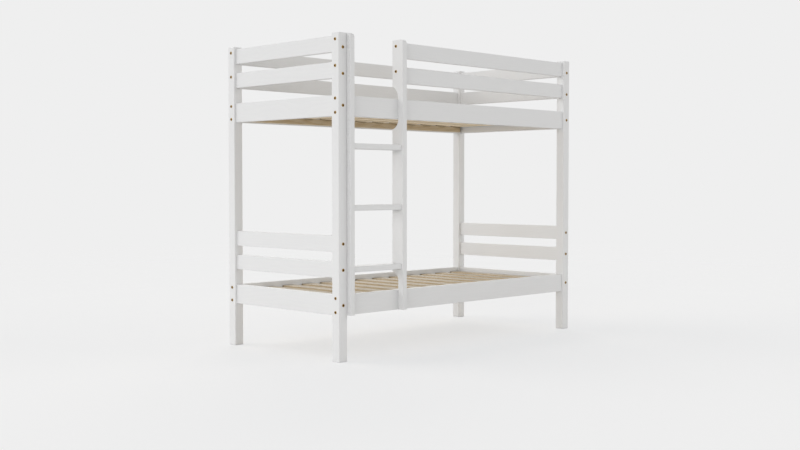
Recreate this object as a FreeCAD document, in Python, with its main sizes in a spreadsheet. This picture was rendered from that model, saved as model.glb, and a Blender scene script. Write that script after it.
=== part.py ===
import FreeCAD, Part
import Sketcher
import math
import os

# Bunk bed with a fixed ladder, in millimetres.
# X runs along the bed, Y from the ladder side to the rear and Z up.
# The origin is on the floor, in the middle of the whole bed with its ladder.

doc = FreeCAD.newDocument("BunkBed")

# ---------------------------------------------------------------- driving sizes

SIZES = (
    # whole bed
    ("bed_length", 2100, "over the posts"),
    ("bed_width", 1010, "over the posts"),
    ("bed_height", 1817, "floor to post tops"),
    ("post_size", 60, "square section of a post"),
    ("post_arris", 4, "rounding of the posts' long edges"),
    ("post_end_arris", 3, "chamfer round the posts' tops and feet"),
    # boards between the posts
    ("guard_height", 90, "guard boards and lower end boards"),
    ("guard_thickness", 30, ""),
    ("rail_height", 115, "wide bed rails"),
    ("rail_thickness", 36, ""),
    ("board_arris", 3, "rounding of the boards' long edges"),
    ("lower_rail_level", 315, "floor to the middle of the lower rails"),
    ("rail_to_guard", 195.5, "middle of a rail to the middle of the first guard"),
    ("guard_pitch", 145, "first guard to second guard"),
    ("post_rise", 13, "post tops above the top guards"),
    # connecting screws
    ("screw_head_diameter", 17, ""),
    ("screw_head_height", 2.5, ""),
    ("screw_diameter", 7, ""),
    ("screw_clearance", 0.2, "round a screw's shank in its bore"),
    ("screw_end_room", 2, "bore deeper than its screw"),
    ("screw_reach", 45, "how far a screw goes into a board's end grain"),
    ("guard_screw_offset", 22, "off a guard's middle, up on the sides, down at the ends"),
    ("rail_screw_offset", 39, "off a side rail's middle, one up and one down"),
    # ladder
    ("stile_thickness", 34, "along the bed"),
    ("stile_projection", 27, "how far the stiles stand out in front of the posts"),
    ("stile_arris", 4, "rounding of the stiles' front edges"),
    ("stile_corner", 24, "radius of the stiles' top front corner"),
    ("ladder_clear_width", 376, "between the stiles"),
    ("upper_notch_top_radius", 82, "cut-out above the upper rail"),
    ("upper_notch_bottom_radius", 58, "cut-out below the upper rail"),
    ("lower_notch_radius", 50, "cut-out above the lower rail"),
    ("lower_notch_rise", 53.5, "straight part of the lower cut-out above the rail"),
    ("rung_thickness", 32, ""),
    ("rung_setback", 11, "rung behind the stiles' front"),
    ("rung_housing", 10, "how deep a rung is let into each stile"),
    ("rung_arris", 4, "rounding of the rungs' long edges"),
    ("rung_level", 195.5, "middle of the lower rails up to the lowest rung's"),
    ("rung_drop", 222, "middle of the upper rails down to the highest rung's"),
    ("ladder_screw_reach", 22, "screws into the stiles"),
    # slatted bases
    ("ledger_height", 38, ""),
    ("ledger_depth", 25, ""),
    ("ledger_end_gap", 2, "ledger short of each post"),
    ("upper_ledger_rise", 6.5, "upper ledgers above the rail's bottom edge"),
    ("lower_ledger_rise", 28, "lower ledgers above the rail's bottom edge"),
    ("slat_width", 100, ""),
    ("slat_thickness", 20, ""),
    ("slat_count", 12, "slats to a bunk"),
    ("slat_margin", 65.5, "bare stretch from the posts to the first slat"),
    ("slat_end_gap", 3, "slat short of each rail"),
    ("slat_arris", 2, "chamfer of the slats' upper edges"),
)

sheet = doc.addObject("Spreadsheet::Sheet", "Sizes")
for row, (alias, number, note) in enumerate(SIZES, start=1):
    sheet.set("A%d" % row, alias)
    sheet.set("B%d" % row, str(number))
    sheet.set("C%d" % row, note)
    sheet.setAlias("B%d" % row, alias)
doc.recompute()


def size(alias):
    return float(sheet.get(alias))


def value(expression):
    """What an expression over the sizes comes to."""
    return float(sheet.evalExpression(expression))


# Places worked out from the driving sizes, as expressions for the objects' properties.
LEFT_FACE = "(-Sizes.bed_length / 2)"
RIGHT_FACE = "(Sizes.bed_length / 2)"
FRONT_FACE = "((Sizes.stile_projection - Sizes.bed_width - Sizes.screw_head_height) / 2)"
REAR_FACE = "(%s + Sizes.bed_width)" % FRONT_FACE
HALF_POST = "(Sizes.post_size / 2)"
SIDE_LENGTH = "(Sizes.bed_length - 2 * Sizes.post_size)"
END_LENGTH = "(Sizes.bed_width - 2 * Sizes.post_size)"

LOWER_RAIL = "Sizes.lower_rail_level"
LOWER_FIRST = "(Sizes.lower_rail_level + Sizes.rail_to_guard)"
LOWER_SECOND = "(%s + Sizes.guard_pitch)" % LOWER_FIRST
UPPER_SECOND = "(Sizes.bed_height - Sizes.post_rise - Sizes.guard_height / 2)"
UPPER_FIRST = "(%s - Sizes.guard_pitch)" % UPPER_SECOND
UPPER_RAIL = "(%s - Sizes.rail_to_guard)" % UPPER_FIRST
BUNK_RISE = "(%s - %s)" % (UPPER_RAIL, LOWER_RAIL)

RAIL_FACE = "((Sizes.post_size - Sizes.rail_thickness) / 2)"      # rail's outer face inside the posts'
LEFT_STILE = "(%s + Sizes.post_size)" % LEFT_FACE
RIGHT_STILE = "(%s + Sizes.stile_thickness + Sizes.ladder_clear_width)" % LEFT_STILE
GUARD_START = "(%s + Sizes.stile_thickness)" % RIGHT_STILE
STILE_FRONT = "(%s - Sizes.stile_projection)" % FRONT_FACE
STILE_BOTTOM = "(Sizes.lower_rail_level - Sizes.rail_height / 2)"
STILE_DEPTH = "(Sizes.stile_projection + Sizes.post_size)"
STILE_HEIGHT = "(Sizes.bed_height - %s)" % STILE_BOTTOM
NOTCH_FACE = "(Sizes.stile_projection + %s)" % RAIL_FACE           # from the stile's front
RUNG_DEPTH = "(%s - Sizes.rung_setback)" % STILE_DEPTH
RUNG_NAMES = ("lower", "middle", "upper")
RUNG_PITCH = "((%s - Sizes.rung_level - Sizes.rung_drop) / %d)" % (BUNK_RISE, len(RUNG_NAMES) - 1)

SLAT_PITCH = "((%s - 2 * Sizes.slat_margin - Sizes.slat_width) / (Sizes.slat_count - 1))" % SIDE_LENGTH

GUARD_SCREW = "Sizes.guard_screw_offset"
RAIL_SCREW = "Sizes.rail_screw_offset"

# The fifty connecting screws and their bores repeat more than anything else on the bed,
# so they are many-sided and not round.
HEAD_SIDES = 10
SHANK_SIDES = 6

# ---------------------------------------------------------------- sketch helpers


def origin_plane(body, role):
    for feature in body.Origin.OriginFeatures:
        if feature.Role == role:
            return feature


def new_sketch(body, role, name, offset=None):
    """A sketch on one of the body's origin planes, or at an offset along its normal."""
    sketch = body.newObject("Sketcher::SketchObject", name)
    sketch.AttachmentSupport = [(origin_plane(body, role), "")]
    sketch.MapMode = "FlatFace"
    if offset:
        sketch.setExpression("AttachmentOffset.Base.z", offset)
    return sketch


def dimension(sketch, kind, *places, by):
    """A dimensional constraint that follows an expression over the sizes."""
    index = sketch.addConstraint(Sketcher.Constraint(kind, *places, value(by)))
    sketch.setExpression("Constraints[%d]" % index, by)


def place_point(sketch, geometry, point, across, up):
    """Holds a point by its distances from the sketch's origin; "0" puts it on that axis."""
    if value(across):
        dimension(sketch, "DistanceX", -1, 1, geometry, point, by=across)
    else:
        sketch.addConstraint(Sketcher.Constraint("PointOnObject", geometry, point, -2))
    if value(up):
        dimension(sketch, "DistanceY", -1, 1, geometry, point, by=up)
    else:
        sketch.addConstraint(Sketcher.Constraint("PointOnObject", geometry, point, -1))


def rectangle(sketch, width, height, across=None, up=None):
    """A closed rectangle with its lower left corner at (across, up), or centred on the origin."""
    centred = across is None
    wide, high = value(width), value(height)
    left = -wide / 2 if centred else value(across)
    low = -high / 2 if centred else value(up)
    right, top = left + wide, low + high
    corners = [FreeCAD.Vector(x, y, 0) for x, y in ((left, low), (right, low), (right, top), (left, top))]
    first = sketch.GeometryCount
    for i in range(4):
        sketch.addGeometry(Part.LineSegment(corners[i], corners[(i + 1) % 4]))
    for i in range(4):
        sketch.addConstraint(Sketcher.Constraint("Coincident", first + i, 2, first + (i + 1) % 4, 1))
        kind = "Vertical" if i % 2 else "Horizontal"
        sketch.addConstraint(Sketcher.Constraint(kind, first + i))
    dimension(sketch, "DistanceX", first, 1, first, 2, by=width)
    dimension(sketch, "DistanceY", first + 1, 1, first + 1, 2, by=height)
    if centred:
        sketch.addConstraint(Sketcher.Constraint("Symmetric", first, 1, first + 2, 1, -1, 1))
    else:
        place_point(sketch, first, 1, across, up)


# ---------------------------------------------------------------- feature helpers


def new_body(label):
    body = doc.addObject("PartDesign::Body", label)
    body.Label = label
    return body


def pad(body, sketch, length):
    feature = body.newObject("PartDesign::Pad", "Pad")
    feature.Profile = sketch
    feature.setExpression("Length", length)
    doc.recompute()
    return feature


def pocket(body, sketch, depth=None, along_normal=False):
    """Cuts against the sketch's normal, or along it; through everything without a depth."""
    before = body.Tip.Shape.Volume
    feature = body.newObject("PartDesign::Pocket", "Pocket")
    feature.Profile = sketch
    feature.Reversed = along_normal
    if depth:
        feature.Type = "Length"
        feature.setExpression("Length", depth)
    else:
        feature.Type = "ThroughAll"
    doc.recompute()
    if not feature.Shape.Volume < before - 1.0:
        raise RuntimeError("%s: a pocket cut nothing" % body.Label)
    return feature


def edges_where(shape, test):
    return ["Edge%d" % (i + 1) for i, edge in enumerate(shape.Edges) if test(edge)]


def dress(body, kind, radius, test):
    """A Fillet or Chamfer on the edges of the body's tip that pass the test."""
    base = body.Tip
    names = edges_where(base.Shape, test)
    if not names:
        raise RuntimeError("%s: no edge to dress" % body.Label)
    feature = body.newObject("PartDesign::" + kind, kind)
    feature.Base = (base, names)
    feature.setExpression("Radius" if kind == "Fillet" else "Size", radius)
    doc.recompute()
    return feature


def prism(body, kind, role, sides, radius, spot, length):
    """A many-sided bar square to an origin plane: kind is Additive or Subtractive.

    spot gives its start, across and up the plane and along the plane's normal.
    """
    feature = body.newObject("PartDesign::%sPrism" % kind, "Prism")
    feature.AttachmentSupport = [(origin_plane(body, role), "")]
    feature.MapMode = "FlatFace"
    feature.Polygon = sides
    feature.setExpression("Circumradius", radius)
    feature.setExpression("Height", length)
    for axis, expression in zip("xyz", spot):
        feature.setExpression("AttachmentOffset.Base." + axis, expression)
    return feature


def bore(body, role, spot, depth):
    """Room for a screw's shank."""
    return prism(body, "Subtractive", role, SHANK_SIDES,
                 "Sizes.screw_diameter / 2 + Sizes.screw_clearance", spot, depth)


def runs_along(edge, axis):
    """True for a straight edge that runs along the axis (0, 1 or 2)."""
    if not isinstance(edge.Curve, (Part.Line, Part.LineSegment)):
        return False
    step = edge.Vertexes[-1].Point - edge.Vertexes[0].Point
    return abs(step[axis]) > 0.999 * step.Length


def place(piece, x, y, z, turn=0):
    """Turns a piece about Z, then puts its own origin at (x, y, z)."""
    piece.Placement = FreeCAD.Placement(FreeCAD.Vector(), FreeCAD.Rotation(turn, 0, 0))
    for axis, expression in zip("xyz", (x, y, z)):
        piece.setExpression("Placement.Base." + axis, expression)


pieces = []


def fit(label, master, x, y, z, turn=0):
    """One of several alike pieces: a link to the body they share, at its own place."""
    piece = doc.addObject("App::Link", label)
    piece.Label = label
    piece.LinkedObject = master
    place(piece, x, y, z, turn)
    pieces.append(piece)
    return piece


# ---------------------------------------------------------------- posts
# All four posts are alike: through bores along X for what joins them from the sides,
# and along Y for what joins them from the ends, at levels that never meet.

SIDE_BORES = [
    "(%s %s %s)" % (rail, sign, RAIL_SCREW) for rail in (LOWER_RAIL, UPPER_RAIL) for sign in "-+"
] + ["(%s + %s)" % (guard, GUARD_SCREW) for guard in (UPPER_FIRST, UPPER_SECOND)]

END_BORES = [LOWER_RAIL, LOWER_FIRST, LOWER_SECOND, UPPER_RAIL] + [
    "(%s - %s)" % (guard, GUARD_SCREW) for guard in (UPPER_FIRST, UPPER_SECOND)
]


post = new_body("post")
section = new_sketch(post, "XY_Plane", "Section")
rectangle(section, "Sizes.post_size", "Sizes.post_size")
pad(post, section, "Sizes.bed_height")
dress(post, "Fillet", "Sizes.post_arris", lambda edge: runs_along(edge, 2))
dress(post, "Chamfer", "Sizes.post_end_arris", lambda edge: edge.BoundBox.ZLength < 0.01)
for role, levels in (("YZ_Plane", SIDE_BORES), ("XZ_Plane", END_BORES)):
    for level in levels:
        bore(post, role, ("0", level, "-" + HALF_POST), "Sizes.post_size")

LEFT_LINE = "%s + %s" % (LEFT_FACE, HALF_POST)
RIGHT_LINE = "%s - %s" % (RIGHT_FACE, HALF_POST)
FRONT_LINE = "%s + %s" % (FRONT_FACE, HALF_POST)
REAR_LINE = "%s - %s" % (REAR_FACE, HALF_POST)

front_left_post = fit("front_left_post", post, LEFT_LINE, FRONT_LINE, "0")
fit("front_right_post", post, RIGHT_LINE, FRONT_LINE, "0")
fit("rear_left_post", post, LEFT_LINE, REAR_LINE, "0")
fit("rear_right_post", post, RIGHT_LINE, REAR_LINE, "0")

# ---------------------------------------------------------------- boards between posts
# A board lies along its own X from 0 to its length, with its section centred on that axis and
# its inner face towards its own +Y. Screws enter the end grain at both ends, at the given
# heights off the middle: each is a sign and the alias of a distance.

ONE_SCREW_MIDDLE = ((0, None),)
ONE_SCREW_UP = ((1, "guard_screw_offset"),)
ONE_SCREW_DOWN = ((-1, "guard_screw_offset"),)
TWO_SCREWS = ((1, "rail_screw_offset"), (-1, "rail_screw_offset"))


def make_board(label, length, height, thickness, screws):
    body = new_body(label)
    section = new_sketch(body, "YZ_Plane", "Section")
    rectangle(section, thickness, height)
    pad(body, section, length)
    dress(body, "Fillet", "Sizes.board_arris", lambda edge: runs_along(edge, 0))
    depth = "(Sizes.screw_reach + Sizes.screw_end_room)"
    for start in ("0", "%s - %s" % (length, depth)):
        for sign, alias in screws:
            level = "%d * Sizes.%s" % (sign, alias) if alias else "0"
            bore(body, "YZ_Plane", ("0", level, start), depth)
    doc.recompute()
    return body


def screw_sites(board, screws, cover):
    """For the near and the far end: where the screws' heads sit, with +Z out of the head."""
    length = board.LinkedObject.Shape.optimalBoundingBox().XLength
    ends = []
    for x, way in ((-cover, -1), (length + cover, 1)):
        out = FreeCAD.Vector(way, 0, 0)
        turn = FreeCAD.Rotation(FreeCAD.Vector(0, 1, 0), FreeCAD.Vector(), out, "ZXY")
        spots = [FreeCAD.Vector(x, 0, sign * (size(alias) if alias else 0)) for sign, alias in screws]
        ends.append([board.Placement.multiply(FreeCAD.Placement(spot, turn)) for spot in spots])
    return ends


SHORT_LENGTH = "(%s - Sizes.post_size - %s)" % (RIGHT_FACE, GUARD_START)
GUARD = ("Sizes.guard_height", "Sizes.guard_thickness")
RAIL = ("Sizes.rail_height", "Sizes.rail_thickness")

end_rail = make_board("end_rail", END_LENGTH, *RAIL, ONE_SCREW_MIDDLE)
end_board = make_board("end_board", END_LENGTH, *GUARD, ONE_SCREW_MIDDLE)
end_guard = make_board("end_guard", END_LENGTH, *GUARD, ONE_SCREW_DOWN)
side_rail = make_board("side_rail", SIDE_LENGTH, *RAIL, TWO_SCREWS)
side_guard = make_board("side_guard", SIDE_LENGTH, *GUARD, ONE_SCREW_UP)
short_guard = make_board("short_guard", SHORT_LENGTH, *GUARD, ONE_SCREW_UP)

FRONT_START = "%s + Sizes.post_size" % LEFT_FACE
REAR_START = "%s - Sizes.post_size" % RIGHT_FACE
LEFT_START = "%s - Sizes.post_size" % REAR_FACE
RIGHT_START = "%s + Sizes.post_size" % FRONT_FACE

end_sites = []
for end_name, x, y, turn in (("left_end", LEFT_LINE, LEFT_START, -90),
                             ("right_end", RIGHT_LINE, RIGHT_START, 90)):
    for name, master, level, screws in (
        ("lower_rail", end_rail, LOWER_RAIL, ONE_SCREW_MIDDLE),
        ("lower_mid_board", end_board, LOWER_FIRST, ONE_SCREW_MIDDLE),
        ("lower_top_board", end_board, LOWER_SECOND, ONE_SCREW_MIDDLE),
        ("upper_rail", end_rail, UPPER_RAIL, ONE_SCREW_MIDDLE),
        ("upper_mid_guard", end_guard, UPPER_FIRST, ONE_SCREW_DOWN),
        ("upper_top_guard", end_guard, UPPER_SECOND, ONE_SCREW_DOWN),
    ):
        board = fit("%s_%s" % (end_name, name), master, x, y, level, turn)
        doc.recompute()
        for sites in screw_sites(board, screws, size("post_size")):
            end_sites += sites

side_sites = []
for label, master, x, y, level, turn, screws in (
    ("lower_rear_rail", side_rail, REAR_START, REAR_LINE, LOWER_RAIL, 180, TWO_SCREWS),
    ("upper_rear_rail", side_rail, REAR_START, REAR_LINE, UPPER_RAIL, 180, TWO_SCREWS),
    ("upper_rear_mid_guard", side_guard, REAR_START, REAR_LINE, UPPER_FIRST, 180, ONE_SCREW_UP),
    ("upper_rear_top_guard", side_guard, REAR_START, REAR_LINE, UPPER_SECOND, 180, ONE_SCREW_UP),
    ("lower_front_rail", side_rail, FRONT_START, FRONT_LINE, LOWER_RAIL, 0, TWO_SCREWS),
    ("upper_front_rail", side_rail, FRONT_START, FRONT_LINE, UPPER_RAIL, 0, TWO_SCREWS),
):
    board = fit(label, master, x, y, level, turn)
    doc.recompute()
    for sites in screw_sites(board, screws, size("post_size")):
        side_sites += sites

# The two short front guards end at the ladder's right stile and are screwed through it.
guard_sites = []
for label, level in (("upper_front_mid_guard", UPPER_FIRST), ("upper_front_top_guard", UPPER_SECOND)):
    board = fit(label, short_guard, GUARD_START, FRONT_LINE, level)
    doc.recompute()
    guard_sites += screw_sites(board, ONE_SCREW_UP, size("stile_thickness"))[0]
    side_sites += screw_sites(board, ONE_SCREW_UP, size("post_size"))[1]

# ---------------------------------------------------------------- ladder
# A stile stands on its own XY plane with its outline in YZ: Y from its front edge, Z from its
# foot, thickness along +X. It hooks over both front rails with cut-outs from its back edge.


def notch(body, name, low, high, top_radius, bottom_radius="0"):
    """A cut-out from the back: straight from low to high, with an arc above and one below."""
    sketch = new_sketch(body, "YZ_Plane", name)
    near, start, end = value(NOTCH_FACE), value(low), value(high)
    radius = value(top_radius)
    lower_radius = value(bottom_radius)
    far = value(STILE_DEPTH) + radius
    over, under = end + radius, start - lower_radius

    def straight(*ends):
        first, last = [FreeCAD.Vector(y, z, 0) for y, z in ends]
        return sketch.addGeometry(Part.LineSegment(first, last))

    def quarter(z, bend, turned):
        circle = Part.Circle(FreeCAD.Vector(near + bend, z, 0), FreeCAD.Vector(0, 0, 1), bend)
        return sketch.addGeometry(Part.ArcOfCircle(circle, turned, turned + math.pi / 2))

    face = straight((near, start), (near, end))
    top = quarter(end, radius, math.pi / 2)
    roof = straight((near + radius, over), (far, over))
    back = straight((far, over), (far, under))
    floor = straight((far, under), (near + lower_radius, under))
    link = Sketcher.Constraint
    for line, kind in ((face, "Vertical"), (roof, "Horizontal"), (back, "Vertical"), (floor, "Horizontal")):
        sketch.addConstraint(link(kind, line))
    sketch.addConstraint(link("Coincident", face, 2, top, 2))
    sketch.addConstraint(link("Coincident", top, 1, roof, 1))
    sketch.addConstraint(link("Coincident", roof, 2, back, 1))
    sketch.addConstraint(link("Coincident", back, 2, floor, 1))
    sketch.addConstraint(link("Horizontal", top, 3, face, 2))
    sketch.addConstraint(link("Vertical", top, 3, roof, 1))
    dimension(sketch, "Radius", top, by=top_radius)
    place_point(sketch, face, 1, NOTCH_FACE, low)
    dimension(sketch, "DistanceY", -1, 1, face, 2, by=high)
    dimension(sketch, "DistanceX", -1, 1, back, 1, by="%s + %s" % (STILE_DEPTH, top_radius))
    if lower_radius:
        bottom = quarter(start, lower_radius, math.pi)
        sketch.addConstraint(link("Coincident", face, 1, bottom, 1))
        sketch.addConstraint(link("Coincident", bottom, 2, floor, 2))
        sketch.addConstraint(link("Horizontal", bottom, 3, face, 1))
        sketch.addConstraint(link("Vertical", bottom, 3, floor, 2))
        dimension(sketch, "Radius", bottom, by=bottom_radius)
    else:
        sketch.addConstraint(link("Coincident", floor, 2, face, 1))
    pocket(body, sketch, along_normal=True)


RUNG_LEVELS = ["(%s + Sizes.rung_level + %d * %s)" % (LOWER_RAIL, i, RUNG_PITCH)
               for i in range(len(RUNG_NAMES))]
LADDER_SCREWS = ["(%s + %s - %s)" % (guard, GUARD_SCREW, STILE_BOTTOM)
                 for guard in (UPPER_FIRST, UPPER_SECOND)]


def make_stile(label, x, housing_on_far_side, screw_depth):
    body = new_body(label)
    outline = new_sketch(body, "YZ_Plane", "Outline")
    rectangle(outline, STILE_DEPTH, STILE_HEIGHT, "0", "0")
    pad(body, outline, "Sizes.stile_thickness")
    top = body.Tip.Shape.BoundBox.ZMax
    dress(body, "Fillet", "Sizes.stile_corner",
          lambda edge: runs_along(edge, 0) and edge.BoundBox.ZMin > top - 1 and edge.BoundBox.YMax < 1)
    back = body.Tip.Shape.BoundBox.YMax
    dress(body, "Fillet", "Sizes.stile_arris",
          lambda edge: edge.BoundBox.XLength < 0.01 and edge.BoundBox.ZMax > 1
          and edge.BoundBox.YMin < back - 1)
    notch(body, "LowerNotch", "0", "Sizes.rail_height + Sizes.lower_notch_rise",
          "Sizes.lower_notch_radius")
    notch(body, "UpperNotch", BUNK_RISE, "%s + Sizes.rail_height" % BUNK_RISE,
          "Sizes.upper_notch_top_radius", "Sizes.upper_notch_bottom_radius")
    offset = "Sizes.stile_thickness" if housing_on_far_side else None
    housings = new_sketch(body, "YZ_Plane", "Housings", offset)
    for level in RUNG_LEVELS:
        rectangle(housings, RUNG_DEPTH, "Sizes.rung_thickness", "Sizes.rung_setback",
                  "%s - %s - Sizes.rung_thickness / 2" % (level, STILE_BOTTOM))
    pocket(body, housings, "Sizes.rung_housing", along_normal=not housing_on_far_side)
    deep = size("rung_housing")
    front = size("rung_setback")
    dress(body, "Fillet", "Sizes.rung_arris",
          lambda edge: runs_along(edge, 0) and abs(edge.Length - deep) < 0.01
          and abs(edge.BoundBox.YMin - front) < 0.1)
    for level in LADDER_SCREWS:
        bore(body, "YZ_Plane", ("Sizes.stile_projection + %s" % HALF_POST, level, "0"), screw_depth)
    place(body, x, STILE_FRONT, STILE_BOTTOM)
    pieces.append(body)


make_stile("ladder_left_stile", LEFT_STILE, True,
           "Sizes.ladder_screw_reach + Sizes.screw_end_room")
make_stile("ladder_right_stile", RIGHT_STILE, False, "Sizes.stile_thickness")

rung = new_body("rung")
section = new_sketch(rung, "YZ_Plane", "Section")
rectangle(section, RUNG_DEPTH, "Sizes.rung_thickness")
pad(rung, section, "Sizes.ladder_clear_width + 2 * Sizes.rung_housing")
dress(rung, "Fillet", "Sizes.rung_arris", lambda edge: runs_along(edge, 0))
for name, level in zip(RUNG_NAMES, RUNG_LEVELS):
    fit("ladder_%s_rung" % name, rung,
        "%s + Sizes.stile_thickness - Sizes.rung_housing" % LEFT_STILE,
        "%s + Sizes.rung_setback + %s / 2" % (STILE_FRONT, RUNG_DEPTH), level)

# ---------------------------------------------------------------- slatted bases

INNER_FACE = "(%s + Sizes.rail_thickness)" % RAIL_FACE

ledger = new_body("ledger")
section = new_sketch(ledger, "YZ_Plane", "Section")
rectangle(section, "Sizes.ledger_depth", "Sizes.ledger_height")
pad(ledger, section, "%s - 2 * Sizes.ledger_end_gap" % SIDE_LENGTH)

# Loose slats in one row along X, each lying across the bed from its rear end forwards.
slat_row = new_body("slat_row")
section = new_sketch(slat_row, "XZ_Plane", "Section")
rectangle(section, "Sizes.slat_width", "Sizes.slat_thickness")
slat = pad(slat_row, section, "Sizes.bed_width - 2 * %s - 2 * Sizes.slat_end_gap" % INNER_FACE)
arrises = dress(slat_row, "Chamfer", "Sizes.slat_arris",
                lambda edge: runs_along(edge, 1) and edge.BoundBox.ZMin > 0)
row = slat_row.newObject("PartDesign::LinearPattern", "Row")
row.Originals = [slat, arrises]
row.Direction = (section, ["H_Axis"])
row.setExpression("Length", "(Sizes.slat_count - 1) * %s" % SLAT_PITCH)
row.setExpression("Occurrences", "Sizes.slat_count")
slat_row.Tip = row

for name, rail_level, rise in (("lower", LOWER_RAIL, "Sizes.lower_ledger_rise"),
                               ("upper", UPPER_RAIL, "Sizes.upper_ledger_rise")):
    bottom = "(%s - Sizes.rail_height / 2 + %s)" % (rail_level, rise)
    start = "%s + Sizes.ledger_end_gap" % FRONT_START
    middle = "%s + Sizes.ledger_height / 2" % bottom
    fit(name + "_front_ledger", ledger, start,
        "%s + %s + Sizes.ledger_depth / 2" % (FRONT_FACE, INNER_FACE), middle)
    fit(name + "_rear_ledger", ledger, start,
        "%s - %s - Sizes.ledger_depth / 2" % (REAR_FACE, INNER_FACE), middle)
    fit(name + "_slats", slat_row,
        "-(Sizes.slat_count - 1) * %s / 2" % SLAT_PITCH,
        "%s - %s - Sizes.slat_end_gap" % (REAR_FACE, INNER_FACE),
        "%s + Sizes.ledger_height + Sizes.slat_thickness / 2" % bottom)

# ---------------------------------------------------------------- connecting screws
# A screw stands on its own XY plane: the head above, the shank below. Each group is made of
# separate screws of one length.


def make_screw(label, length):
    body = new_body(label)
    prism(body, "Additive", "XY_Plane", HEAD_SIDES, "Sizes.screw_head_diameter / 2",
          ("0", "0", "0"), "Sizes.screw_head_height")
    prism(body, "Additive", "XY_Plane", SHANK_SIDES, "Sizes.screw_diameter / 2",
          ("0", "0", "-(%s)" % length), length)
    doc.recompute()
    return body


def place_screws(label, master, sites):
    group = doc.addObject("Part::Feature", label)
    group.Label = label
    group.Shape = Part.makeCompound([master.Shape.transformed(site.toMatrix()) for site in sites])
    pieces.append(group)


post_screw = make_screw("post_screw", "Sizes.post_size + Sizes.screw_reach")
stile_screw = make_screw("stile_screw", "Sizes.stile_thickness + Sizes.screw_reach")
ladder_screw = make_screw("ladder_screw", "Sizes.post_size + Sizes.ladder_screw_reach")

# Screws from the left post into the stile stand level with those from the stile into the guards.
outer_face = front_left_post.Placement.Base.x - size("post_size") / 2
ladder_sites = [
    FreeCAD.Placement(FreeCAD.Vector(outer_face, site.Base.y, site.Base.z), site.Rotation)
    for site in guard_sites
]

place_screws("end_board_screws", post_screw, end_sites)
place_screws("side_board_screws", post_screw, side_sites)
place_screws("ladder_to_guard_screws", stile_screw, guard_sites)
place_screws("ladder_to_post_screws", ladder_screw, ladder_sites)

# ---------------------------------------------------------------- check and export

doc.recompute()
for item in doc.Objects:
    if "Invalid" in item.State or "Error" in item.State:
        raise RuntimeError("%s: %s" % (item.Label, item.State))

os.makedirs("parts", exist_ok=True)
for piece in pieces:
    shape = Part.getShape(piece)
    if shape.isNull() or not shape.isValid():
        raise RuntimeError("%s: bad shape" % piece.Label)
    shape.exportStep("parts/%s.step" % piece.Label)
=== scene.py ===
import math

import bmesh
import bpy
from mathutils import Matrix, Vector

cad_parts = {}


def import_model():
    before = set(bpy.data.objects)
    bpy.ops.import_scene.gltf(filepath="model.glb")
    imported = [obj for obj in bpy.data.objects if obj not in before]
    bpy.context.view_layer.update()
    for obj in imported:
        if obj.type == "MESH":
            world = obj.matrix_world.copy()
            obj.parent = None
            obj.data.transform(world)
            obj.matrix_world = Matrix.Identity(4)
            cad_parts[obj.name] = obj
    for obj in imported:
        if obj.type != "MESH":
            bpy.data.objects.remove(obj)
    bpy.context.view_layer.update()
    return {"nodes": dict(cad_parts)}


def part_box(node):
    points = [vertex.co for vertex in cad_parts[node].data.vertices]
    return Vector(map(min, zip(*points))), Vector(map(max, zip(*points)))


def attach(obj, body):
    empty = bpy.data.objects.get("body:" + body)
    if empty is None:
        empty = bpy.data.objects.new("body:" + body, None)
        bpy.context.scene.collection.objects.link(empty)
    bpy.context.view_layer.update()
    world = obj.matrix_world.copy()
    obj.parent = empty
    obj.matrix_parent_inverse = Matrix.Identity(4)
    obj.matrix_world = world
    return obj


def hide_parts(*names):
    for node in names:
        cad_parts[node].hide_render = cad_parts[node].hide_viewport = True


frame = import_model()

NODES = frame["nodes"]

# All sizes are metres; X runs along the bed to its right end, Y to its rear side, and Z up.
# Points that are nearer to each other than this count as the same point.
SAME_PLACE = 1e-6

# ---------------------------------------------------------------- node trees


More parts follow.
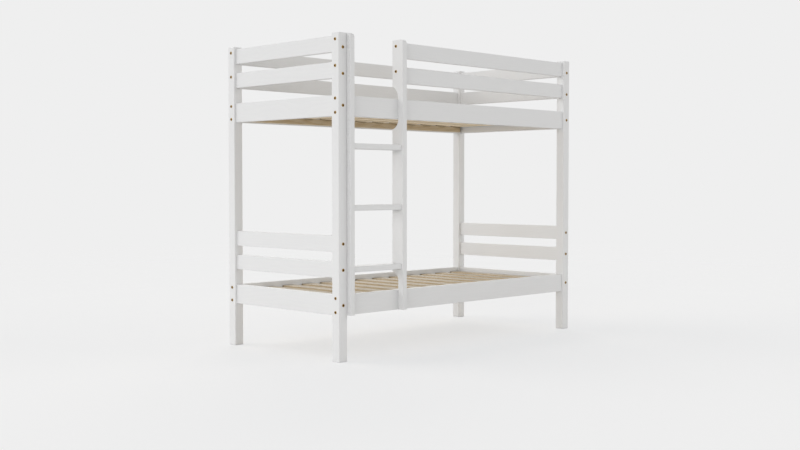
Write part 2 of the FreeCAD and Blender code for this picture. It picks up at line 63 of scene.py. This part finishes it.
class Shader:
    """The node tree of a material or a world, with short calls for adding and joining nodes."""

    def __init__(self, owner, output):
        owner.use_nodes = True
        self.owner = owner
        self.tree = owner.node_tree
        self.tree.nodes.clear()
        self.out = self.add(output)

    def add(self, kind, inputs=(), **settings):
        """Adds a node, whose inputs are given as values or as other nodes' outputs."""
        node = self.tree.nodes.new("ShaderNode" + kind)
        for key, setting in settings.items():
            setattr(node, key, setting)
        for key, given in dict(inputs).items():
            self.give(node.inputs[key], given)
        return node

    def give(self, socket, given):
        if isinstance(given, bpy.types.NodeSocket):
            self.tree.links.new(given, socket)
        else:
            socket.default_value = given

    def math(self, operation, *terms):
        node = self.add("Math", operation=operation)
        for socket, term in zip(node.inputs, terms):
            self.give(socket, term)
        return node.outputs[0]

    def weighted(self, *parts):
        """The sum of values, each times its weight."""
        terms = [self.math("MULTIPLY", given, weight) for given, weight in parts]
        total = terms[0]
        for term in terms[1:]:
            total = self.math("ADD", total, term)
        return total

    def vector(self, operation, *terms):
        node = self.add("VectorMath", operation=operation)
        for socket, term in zip(node.inputs, terms):
            self.give(socket, term)
        return node.outputs[0]

    def distance(self, where):
        """How far a place is from the middle of its coordinates."""
        return self.add("VectorMath", {0: where}, operation="LENGTH").outputs["Value"]

    def own_place(self):
        """The place on the piece in the piece's own coordinates."""
        return self.add("TexCoord").outputs["Object"]

    def mix(self, factor, low, high):
        node = self.add("Mix", data_type="RGBA")
        for socket, given in zip((node.inputs[0], node.inputs[6], node.inputs[7]), (factor, low, high)):
            self.give(socket, given)
        return node.outputs[2]

    def span(self, given, low, high, new_low=0.0, new_high=1.0):
        """Maps a value evenly from one span to another, and holds it inside that one."""
        node = self.add("MapRange", {"Value": given, "From Min": low, "From Max": high,
                                     "To Min": new_low, "To Max": new_high})
        return node.outputs[0]

    def noise(self, where, along, across, detail=3.0, roughness=0.55):
        """Noise from 0 to 1, with so many cycles to the metre along X and across it."""
        stretched = self.vector("MULTIPLY", where, (along, across, across))
        node = self.add("TexNoise", {"Vector": stretched, "Scale": 1.0, "Detail": detail,
                                     "Roughness": roughness})
        return node.outputs["Fac"]

    def not_lighting(self):
        """1 for what the camera, a reflection or glass sees, 0 for light on its way to a surface."""
        path = self.add("LightPath").outputs
        seen = self.math("MAXIMUM", path["Is Camera Ray"], path["Is Glossy Ray"])
        return self.math("MAXIMUM", seen, path["Is Transmission Ray"])


class Surface(Shader):
    """A material of one Principled shader."""

    def __init__(self, name):
        super().__init__(bpy.data.materials.new(name), "OutputMaterial")
        self.finish = self.add("BsdfPrincipled")
        self.give(self.out.inputs["Surface"], self.finish.outputs["BSDF"])

    def set(self, **values):
        for key, given in values.items():
            self.give(self.finish.inputs[key.replace("_", " ")], given)

    def relief(self, height, distance, strength):
        node = self.add("Bump", {"Height": height, "Distance": distance, "Strength": strength})
        self.set(Normal=node.outputs[0])

    def grain(self):
        """Coordinates along a board's own length, and its year rings and fibres, each from 0 to 1."""
        chance = self.add("ObjectInfo").outputs["Random"]
        # every board is sawn from its own place in the trunk, never quite at the trunk's middle
        off_middle = self.math("ADD", self.math("MULTIPLY", chance, 0.11), 0.06)
        shift = self.add("CombineXYZ", {"X": self.math("MULTIPLY", chance, 37.0),
                                        "Y": self.math("MULTIPLY", chance, 0.9), "Z": off_middle})
        place = self.vector("ADD", self.own_place(), shift.outputs[0])
        # the rings sway a little along the trunk
        sway = self.noise(place, along=1.6, across=3.0, detail=2.0)
        bent = self.vector("ADD", place, self.vector("MULTIPLY", sway, (0.0, 0.05, 0.08)))
        rings = self.add("TexWave", {"Vector": bent, "Scale": 42.0, "Distortion": 1.4, "Detail": 2.0,
                                     "Detail Scale": 1.2, "Detail Roughness": 0.5},
                         wave_type="RINGS", rings_direction="X", wave_profile="SAW")
        fibre = self.noise(place, along=9.0, across=520.0, roughness=0.6)
        return place, rings.outputs["Fac"], fibre

    def corners(self, colour, reach, deepest):
        """Paints shade into a colour: darkens it within reach of other pieces, in corners, gaps and
        joints, as painted shade.
        """
        open_sky = self.add("AmbientOcclusion", {"Distance": reach}, samples=8).outputs["AO"]
        # painted shade: the less open a place is to the sky, the darker its colour
        painted_corner_shade = self.span(open_sky, 0.15, 0.75, deepest, 1.0)
        grey = self.add("CombineXYZ", {"X": painted_corner_shade, "Y": painted_corner_shade, "Z": painted_corner_shade}).outputs[0]
        return self.vector("MULTIPLY", colour, grey)


# ---------------------------------------------------------------- paint, pine and bronze

PAINT_LIGHT = (0.798, 0.798, 0.797, 1)
PAINT_DARK = (0.778, 0.778, 0.777, 1)
PINE_LIGHT = (0.606, 0.502, 0.355, 1)
PINE_WARM = (0.570, 0.444, 0.286, 1)
PINE_RING = (0.500, 0.380, 0.235, 1)
PINE_KNOT = (0.19, 0.11, 0.05, 1)
# Tints by which way a pine face looks: the sawn sides' is partly the sawn wood's own colour and partly
# painted shade, the tops' is painted shade, and the undersides' is painted light from below.
SIDE_SAWN_AND_SHADE_TINT = (0.93, 0.92, 0.90, 1)
TOP_PAINTED_SHADE_TINT = (0.85, 0.92, 1.08, 1)
UNDERSIDE_PAINTED_LIGHT_TINT = (1.36, 1.44, 1.56, 1)
BRONZE_DULL = (0.205, 0.110, 0.020, 1)
BRONZE_WORN = (0.50, 0.33, 0.10, 1)
BRONZE_SOCKET_SHADE = (0.04, 0.02, 0.006, 1)

# Distances from a screw's axis: between the first two its rim gets ever brighter with wear, and
# inside the third its socket is at its darkest, as painted shade in the recess, which ends at the fourth.
RUB_STARTS = 0.0066
RUB_FULL = 0.0078
SOCKET_SHADE_FULL = 0.0036
SOCKET_SHADE_ENDS = 0.0046


def white_paint():
    """White paint through which a little of the timber's grain still shows, with painted shade near other
    pieces.
    """
    shader = Surface("white_paint")
    place, rings, fibre = shader.grain()
    streaks = shader.noise(place, along=2.2, across=85.0, detail=4.0, roughness=0.6)
    cloud = shader.noise(place, along=3.0, across=12.0, detail=2.0)
    tone = shader.weighted((streaks, 0.55), (rings, 0.25), (cloud, 0.2))
    shade = shader.mix(shader.span(tone, 0.3, 0.75), PAINT_DARK, PAINT_LIGHT)
    # the paint's colour is darkened near other pieces, as painted shade in corners and joints
    shader.set(Base_Color=shader.corners(shade, reach=0.02, deepest=0.86),
               Roughness=shader.span(streaks, 0.3, 0.7, 0.58, 0.68), Specular_IOR_Level=0.2)
    shader.relief(shader.weighted((fibre, 0.45), (rings, 0.4)), distance=0.00035, strength=0.35)
    return shader.owner


def bare_pine():
    """Planed pine with late-wood rings, fibres, warmer streaks and a few knots, with painted shade and
    light by which way a face looks and near other pieces.
    """
    shader = Surface("bare_pine")
    place, rings, fibre = shader.grain()
    streaks = shader.noise(place, along=1.5, across=60.0)
    late = shader.math("POWER", rings, 2.2)
    wood = shader.mix(late, PINE_LIGHT, PINE_RING)
    wood = shader.mix(shader.span(streaks, 0.35, 0.75, 0.0, 0.35), wood, PINE_WARM)
    wood = shader.mix(shader.span(fibre, 0.35, 0.7, 0.0, 0.16), wood, PINE_RING)
    wood = knots(shader, place, wood)
    # painted light by which way a face looks: the tops are darker and cooler as painted shade, the sawn
    # sides a little darker, partly as sawn wood is and partly as painted shade, and the undersides paler
    # as painted light from below
    up = shader.add("SeparateXYZ", {0: shader.add("TexCoord").outputs["Normal"]}).outputs["Z"]
    facing_light_tint = shader.mix(shader.span(up, 0.3, 0.7), SIDE_SAWN_AND_SHADE_TINT, TOP_PAINTED_SHADE_TINT)
    facing_light_tint = shader.mix(shader.span(up, -0.3, -0.7), facing_light_tint, UNDERSIDE_PAINTED_LIGHT_TINT)
    # the pine's colour is darkened deeply within reach of other pieces, as painted shade in the gaps
    # between slats and at the ledgers
    wood = shader.corners(shader.vector("MULTIPLY", wood, facing_light_tint), reach=0.04, deepest=0.22)
    shader.set(Base_Color=wood, Roughness=shader.span(late, 0.0, 1.0, 0.75, 0.65), Specular_IOR_Level=0.2)
    shader.relief(shader.weighted((fibre, 0.6), (late, 0.4)), distance=0.0004, strength=0.5)
    return shader.owner


def knots(shader, place, wood):
    """Adds a few dark ovals to a wood colour, each in a ring of darker grain."""
    stretched = shader.vector("MULTIPLY", place, (3.1, 9.0, 9.0))
    cells = shader.add("TexVoronoi", {"Vector": stretched, "Scale": 1.0, "Randomness": 0.9}).outputs
    cell_chance = shader.add("SeparateColor", {"Color": cells["Color"]}).outputs[0]
    picked = shader.math("GREATER_THAN", cell_chance, 0.55)
    core = shader.math("MULTIPLY", shader.span(cells["Distance"], 0.105, 0.075), picked)
    halo = shader.math("MULTIPLY", shader.span(cells["Distance"], 0.2, 0.1), picked)
    wood = shader.mix(shader.math("MULTIPLY", halo, 0.45), wood, PINE_RING)
    return shader.mix(shader.math("MULTIPLY", core, 0.85), wood, PINE_KNOT)


def bronze():
    """Dulled on its face, bright where the rim is rubbed, and darkest down in the hexagon socket as
    painted shade in the recess.
    """
    shader = Surface("bronze")
    own = shader.own_place()
    away = shader.distance(shader.vector("MULTIPLY", own, (1.0, 1.0, 0.0)))
    wear = shader.noise(own, along=420.0, across=420.0)
    rim = shader.math("MULTIPLY", shader.span(away, RUB_STARTS, RUB_FULL), shader.span(wear, 0.25, 0.6))
    tone = shader.mix(rim, BRONZE_DULL, BRONZE_WORN)
    # painted shade down in the socket
    tone = shader.mix(shader.span(away, SOCKET_SHADE_ENDS, SOCKET_SHADE_FULL), tone, BRONZE_SOCKET_SHADE)
    shader.set(Base_Color=tone, Metallic=1.0, Roughness=shader.span(wear, 0.3, 0.7, 0.32, 0.48))
    return shader.owner


PAINT = white_paint()
PINE = bare_pine()
BRONZE = bronze()

# ---------------------------------------------------------------- pieces and meshes

# How a piece that is built along its own X is turned to lie along each axis of the bed.
TURNS = {
    "X": Matrix.Identity(3),
    "Y": Matrix.Rotation(math.pi / 2, 3, "Z"),
    "Z": Matrix.Rotation(-math.pi / 2, 3, "Y"),
}


def show(mesh, name, where, turn, node):
    """Puts a mesh into the scene as a piece that stands for a CAD node, or for part of it."""
    piece = bpy.data.objects.new(name, mesh)
    bpy.context.collection.objects.link(piece)
    piece.matrix_world = Matrix.Translation(where) @ turn.to_4x4()
    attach(piece, "root")
    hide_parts(node)
    return piece


def mesh_from(name, build, material):
    """A smooth-shaded mesh of what build puts into an empty bmesh."""
    bm = bmesh.new()
    build(bm)
    bmesh.ops.recalc_face_normals(bm, faces=bm.faces)
    for face in bm.faces:
        face.smooth = True
    mesh = bpy.data.meshes.new(name)
    bm.to_mesh(mesh)
    bm.free()
    mesh.materials.append(material)
    return mesh


def bevel_weights(bm):
    """The layer that holds how round each edge gets, from 0 to 1."""
    return bm.edges.layers.float.new("bevel_weight_edge")


def bevel(piece, width):
    """Rounds the edges by their weights, and keeps the large faces flat in shading."""
    rounding = piece.modifiers.new("rounding", "BEVEL")
    rounding.limit_method = "WEIGHT"
    rounding.width = width
    rounding.segments = 4
    flat = piece.modifiers.new("flat_faces", "WEIGHTED_NORMAL")
    flat.weight = 100


def pairs(ring):
    """Each item of a closed ring with the next one."""
    return zip(ring, ring[1:] + ring[:1])


def skin(bm, first, second):
    """Faces between two closed rings of equally many points."""
    for (here, there), (across, beyond) in zip(pairs(first), pairs(second)):
        bm.faces.new((here, there, beyond, across))


# ---------------------------------------------------------------- straight timber

# Of each kind of piece: the radius of its arrises along the grain, that of those across it, its
# material, and its slot.
KINDS = {
    "post": (0.004, 0.003, PAINT, "white_paint"),
    "board": (0.003, 0.0004, PAINT, "white_paint"),
    "rung": (0.004, 0.0004, PAINT, "white_paint"),
    "ledger": (0.0012, 0.001, PINE, "natural_pine"),
    "slat": (0.002, 0.001, PINE, "natural_pine"),
}

END_BOARDS = ("lower_rail", "lower_mid_board", "lower_top_board", "upper_rail", "upper_mid_guard",
              "upper_top_guard")
SIDE_BOARDS = ("lower_rear_rail", "upper_rear_rail", "upper_rear_mid_guard", "upper_rear_top_guard",
               "lower_front_rail", "upper_front_rail", "upper_front_mid_guard", "upper_front_top_guard")

# One slat more than the solids have, and narrower ones, so that they reach both end rails.
SLATS = 13
SLAT_WIDTH = 0.086


def timber(kind, name, low, high, axis, node):
    """A straight piece between two corners of the bed, its grain along the axis."""
    arris, end_arris, material, slot = KINDS[kind]
    low, high = Vector(low), Vector(high)
    extent = TURNS[axis].transposed() @ (high - low)
    half = Vector(abs(length) for length in extent) / 2

    def build(bm):
        weights = bevel_weights(bm)
        bmesh.ops.create_cube(bm, size=2.0)
        bmesh.ops.scale(bm, vec=half, verts=bm.verts)
        for edge in bm.edges:
            start, end = (vert.co for vert in edge.verts)
            along_grain = start.y == end.y and start.z == end.z
            edge[weights] = 1.0 if along_grain else end_arris / arris

    piece = show(mesh_from(name, build, material), name, (low + high) / 2, TURNS[axis], node)
    bevel(piece, arris)


def bed_end(end):
    """One end's two posts and the six boards between them."""
    for side in ("front", "rear"):
        node = f"{side}_{end}_post"
        timber("post", f"post_{side}_{end}", *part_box(node), "Z", node)
    for board in END_BOARDS:
        node = f"{end}_end_{board}"
        timber("board", f"board_{node}", *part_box(node), "Y", node)


def side_boards():
    """The rails and guards along both sides of the bed."""
    for node in SIDE_BOARDS:
        timber("board", f"board_{node}", *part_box(node), "X", node)


def rungs():
    """The ladder's three flat rungs."""
    for level in ("lower", "middle", "upper"):
        node = f"ladder_{level}_rung"
        timber("rung", f"rung_{level}", *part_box(node), "X", node)


def bunk(level):
    """One bunk's two ledgers, and its slats, spread evenly from one end of the ledgers to the other."""
    for side in ("front", "rear"):
        node = f"{level}_{side}_ledger"
        timber("ledger", f"ledger_{level}_{side}", *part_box(node), "X", node)
    node = f"{level}_slats"
    low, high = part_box(node)
    first, last = (corner[0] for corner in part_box(f"{level}_front_ledger"))
    pitch = (last - first - SLAT_WIDTH) / (SLATS - 1)
    for number in range(SLATS):
        start = (first + number * pitch, low[1], low[2])
        end = (start[0] + SLAT_WIDTH, high[1], high[2])
        timber("slat", f"slat_{level}_{number}", start, end, "Y", node)


bed_end("left")
bed_end("right")
side_boards()
rungs()
bunk("lower")
bunk("upper")

# ---------------------------------------------------------------- ladder stiles

# Radii of the notch's shoulders above and below the upper rail, of the curve over the lower rail,
# and of the round at the front of the top.
UPPER_SHOULDER = 0.082
LOWER_SHOULDER = 0.058
FOOT_CURVE = 0.050
TOP_ROUND = 0.024
# How far the foot stays cut back above the lower rail before it curves out.
FOOT_RISE = 0.0535
# Radius of the arrises along the front and over the top's round, and of all the others.
STILE_ARRIS = 0.004
STILE_SMALL_ARRIS = 0.0014


def arc(y, z, radius, start, end, steps):
    """(y, z) points round an arc whose middle is given, angles in degrees."""
    points = []
    for i in range(steps + 1):
        angle = math.radians(start + (end - start) * i / steps)
        points.append((y + radius * math.cos(angle), z + radius * math.sin(angle)))
    return points


def stile_outline(low, high):
    """(y, z) points from the front of the foot, up the back with its notch, and round the top."""
    rail_low, rail_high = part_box("upper_front_rail")
    face = rail_low[1]
    front, back = low[1], high[1]
    foot_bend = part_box("lower_front_rail")[1][2] + FOOT_RISE

    def reach(radius):
        """How far round from the rails' face an arc meets the stile's back edge, in degrees."""
        return math.degrees(math.acos((face + radius - back) / radius))

    def shoulder(z, radius, start, end, steps):
        """An arc that touches the rails' face at that height, its angles counted from there."""
        return arc(face + radius, z, radius, 180 - start, 180 - end, steps)

    outline = [(front, low[2]), (face, low[2])]
    outline += shoulder(foot_bend, FOOT_CURVE, 0, reach(FOOT_CURVE), 16)
    outline += shoulder(rail_low[2], LOWER_SHOULDER, -reach(LOWER_SHOULDER), 0, 16)
    outline += shoulder(rail_high[2], UPPER_SHOULDER, 0, reach(UPPER_SHOULDER), 20)
    outline += [(back, high[2])]
    outline += arc(front + TOP_ROUND, high[2] - TOP_ROUND, TOP_ROUND, 90, 180, 8)
    return outline


def stile(node, name):
    """One of the ladder's uprights, its outline carried across its thickness."""
    low, high = (Vector(corner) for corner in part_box(node))
    middle = (low + high) / 2
    outline = stile_outline(low, high)
    turn = TURNS["Z"]

    def build(bm):
        weights = bevel_weights(bm)
        sides = []
        for x in (low.x, high.x):
            spots = [turn.transposed() @ (Vector((x, y, z)) - middle) for y, z in outline]
            sides.append([bm.verts.new(spot) for spot in spots])
        for side in sides:
            bm.faces.new(side)
        skin(bm, *sides)
        for side in sides:
            for (start, end), ends in zip(pairs(outline), pairs(side)):
                at_front = max(start[0], end[0]) < low.y + TOP_ROUND + SAME_PLACE
                bm.edges.get(ends)[weights] = 1.0 if at_front else STILE_SMALL_ARRIS / STILE_ARRIS

    piece = show(mesh_from(name, build, PAINT), name, middle, turn, node)
    bevel(piece, STILE_ARRIS)


stile("ladder_left_stile", "stile_left")
stile("ladder_right_stile", "stile_right")

# ---------------------------------------------------------------- connecting screws

SCREWS = ("end_board_screws", "side_board_screws", "ladder_to_guard_screws", "ladder_to_post_screws")
# Of a screw's solid, only the head is farther than this from the axis.
SHANK_ROOM = 0.006

# (radius, height) over the seat of the head's round rings, from its underside over the domed rim
# to the socket's mouth, and of the hexagons down its socket.
HEAD_RINGS = ((0.0034, 0.0), (0.0085, 0.0), (0.0085, 0.0014), (0.00835, 0.0019), (0.0079, 0.0023),
              (0.0073, 0.0025), (0.0048, 0.0025), (0.0045, 0.0023))
SOCKET_RINGS = ((0.0034, 0.0018), (0.003298, 0.0001))
# A multiple of 6, so that the hexagons' corners are among the points.
RING_POINTS = 24
# Edges that turn by more degrees than this stay sharp in shading.
SHARP_ANGLE = 40
# Each screw of a group is turned this much further round than the one before it, in radians.
SCREW_TURN = 0.7


def ring_of(sides, radius, height):
    """RING_POINTS points spread evenly along the sides of a polygon round the Z axis."""
    angles = [2 * math.pi * i / sides for i in range(sides)]
    corners = [Vector((radius * math.cos(angle), radius * math.sin(angle), height)) for angle in angles]
    each = RING_POINTS // sides
    return [start.lerp(end, step / each) for start, end in pairs(corners) for step in range(each)]


def build_head(bm):
    """A domed head that stands on its seat, with a hexagon socket in its face."""
    rings = [ring_of(RING_POINTS, radius, height) for radius, height in HEAD_RINGS]
    rings += [ring_of(6, radius, height) for radius, height in SOCKET_RINGS]
    made = [[bm.verts.new(point) for point in ring] for ring in rings]
    for inner, outer in zip(made, made[1:]):
        skin(bm, inner, outer)
    bm.faces.new(made[-1])


def islands(node):
    """(low, high, points) of each separate solid in a CAD node, in the order of their low corners."""
    bm = bmesh.new()
    bm.from_mesh(NODES[node].data)
    bm.transform(NODES[node].matrix_world)
    bmesh.ops.remove_doubles(bm, verts=bm.verts, dist=SAME_PLACE)
    left = set(bm.verts)
    found = []
    while left:
        # the group grows by its points' neighbours while it is gone through
        group = [left.pop()]
        for vert in group:
            neighbours = {edge.other_vert(vert) for edge in vert.link_edges} & left
            left -= neighbours
            group += neighbours
        points = [vert.co.copy() for vert in group]
        low = Vector(min(point[i] for point in points) for i in range(3))
        high = Vector(max(point[i] for point in points) for i in range(3))
        found.append((low, high, points))
    bm.free()
    return sorted(found, key=lambda solid: tuple(round(c, 4) for c in solid[0]))


def screw_seat(low, high, points):
    """Where a screw's head meets the wood, and the way that the head looks out."""
    middle = (low + high) / 2
    axis = max(range(3), key=lambda i: high[i] - low[i])
    along = Vector(float(i == axis) for i in range(3))
    head = [point[axis] for point in points
            if (point - middle - (point[axis] - middle[axis]) * along).length > SHANK_ROOM]
    outward = sum(head) / len(head) > middle[axis]
    middle[axis] = min(head) if outward else max(head)
    return middle, along if outward else -along


def screws(node):
    """A head on each of a node's screws."""
    for number, solid in enumerate(islands(node)):
        seat, out = screw_seat(*solid)
        turn = out.to_track_quat("Z", "Y").to_matrix() @ Matrix.Rotation(SCREW_TURN * number, 3, "Z")
        show(HEAD, f"{node}_{number:02d}", seat, turn, node)


HEAD = mesh_from("screw_head", build_head, BRONZE)
HEAD.set_sharp_from_angle(angle=math.radians(SHARP_ANGLE))
for node in SCREWS:
    screws(node)

# ---------------------------------------------------------------- studio

# The floor's colour for the light that it throws back, and the two that it is seen with: a matt
# one that takes the bed's shadow, and a glow that lifts it to the background's paleness.
FLOOR = (0.88, 0.88, 0.88, 1)
FLOOR_SHADOW = (0.380, 0.350, 0.320, 1)
FLOOR_GLOW = (0.522, 0.549, 0.576, 1)
FLOOR_RADIUS = 14.0
# Distances from the bed's middle between which the floor fades out.
FADE_STARTS = 4.0
FADE_ENDS = 11.0
BACKGROUND = (0.8631, 0.8631, 0.8631, 1)
SKY_STRENGTH = 0.435

# Of each lamp: its azimuth and elevation in degrees as seen from the bed, its strength, and its
# colour. Each is as soft as a disc that looks LAMP_WIDTH degrees wide.
WHITE = (1, 1, 1)
WARM_WHITE = (1, 0.985, 0.955)
LAMPS = {
    "lamp_back": (45, 25, 0.955, WHITE),
    "lamp_left_high": (120, 40, 0.81, WHITE),
    "lamp_left_low": (150, 15, 0.465, WHITE),
    "lamp_left_front": (210, 15, 0.70, WHITE),
    "lamp_right_front": (315, 25, 0.58, WARM_WHITE),
}
LAMP_WIDTH = 40

CAMERA_PLACE = (-5.13264, -5.04869, 0.98614)
# Which way the camera looks, in degrees, and its sensor and focal length in millimetres.
CAMERA_AZIMUTH = 45
CAMERA_ELEVATION = -2.107436
SENSOR_WIDTH = 36.0
FOCAL_LENGTH = 50.092


def direction(azimuth, elevation):
    """The unit vector that points that way, angles in degrees."""
    azimuth, elevation = math.radians(azimuth), math.radians(elevation)
    level = math.cos(elevation)
    return Vector((level * math.cos(azimuth), level * math.sin(azimuth), math.sin(elevation)))


def floor_material():
    """Seen straight or in a reflection the floor is as pale as the background, with the bed's shadow
    softened and kept from looking warm; the light that it throws back is a plain pale floor's."""
    shader = Shader(bpy.data.materials.new("floor"), "OutputMaterial")
    plain = shader.add("BsdfDiffuse", {"Color": FLOOR})
    faint = shader.add("BsdfDiffuse", {"Color": FLOOR_SHADOW})
    glow = shader.add("Emission", {"Color": FLOOR_GLOW, "Strength": 1.0})
    shown = shader.add("AddShader", {0: faint.outputs[0], 1: glow.outputs[0]})
    near = shader.add("MixShader", {0: shader.not_lighting(), 1: plain.outputs[0], 2: shown.outputs[0]})
    gone = shader.span(shader.distance(shader.own_place()), FADE_STARTS, FADE_ENDS)
    clear = shader.add("BsdfTransparent")
    fade = shader.add("MixShader", {0: gone, 1: near.outputs[0], 2: clear.outputs[0]})
    shader.give(shader.out.inputs["Surface"], fade.outputs[0])
    return shader.owner


def floor():
    """A round pale floor that fades out into the background."""
    def build(bm):
        bmesh.ops.create_circle(bm, cap_ends=True, segments=96, radius=FLOOR_RADIUS)

    plane = bpy.data.objects.new("floor", mesh_from("floor", build, floor_material()))
    bpy.context.collection.objects.link(plane)


def world():
    """Even light from all round, and the pale background that the camera sees."""
    shader = Shader(bpy.data.worlds.new("studio"), "OutputWorld")
    light = shader.add("Background", {"Color": (*WHITE, 1), "Strength": SKY_STRENGTH})
    shown = shader.add("Background", {"Color": BACKGROUND, "Strength": 1.0})
    mixed = shader.add("MixShader", {0: shader.not_lighting(), 1: light.outputs[0], 2: shown.outputs[0]})
    shader.give(shader.out.inputs["Surface"], mixed.outputs[0])
    bpy.context.scene.world = shader.owner


def lamps():
    """Soft lamps so far away that their light comes from the same side everywhere."""
    for name, (azimuth, elevation, strength, colour) in LAMPS.items():
        data = bpy.data.lights.new(name, "SUN")
        data.energy = strength
        data.color = colour
        data.angle = math.radians(LAMP_WIDTH)
        lamp = bpy.data.objects.new(name, data)
        bpy.context.collection.objects.link(lamp)
        lamp.rotation_euler = direction(azimuth, elevation).to_track_quat("Z", "Y").to_euler()


def camera():
    """A view of the ladder's side and the left end, from about half the bed's height."""
    data = bpy.data.cameras.new("camera")
    data.sensor_width = SENSOR_WIDTH
    data.lens = FOCAL_LENGTH
    eye = bpy.data.objects.new("camera", data)
    bpy.context.collection.objects.link(eye)
    eye.location = CAMERA_PLACE
    look = direction(CAMERA_AZIMUTH, CAMERA_ELEVATION)
    eye.rotation_euler = look.to_track_quat("-Z", "Y").to_euler()
    bpy.context.scene.camera = eye


floor()
world()
lamps()
camera()
bpy.context.scene.view_settings.view_transform = "Standard"
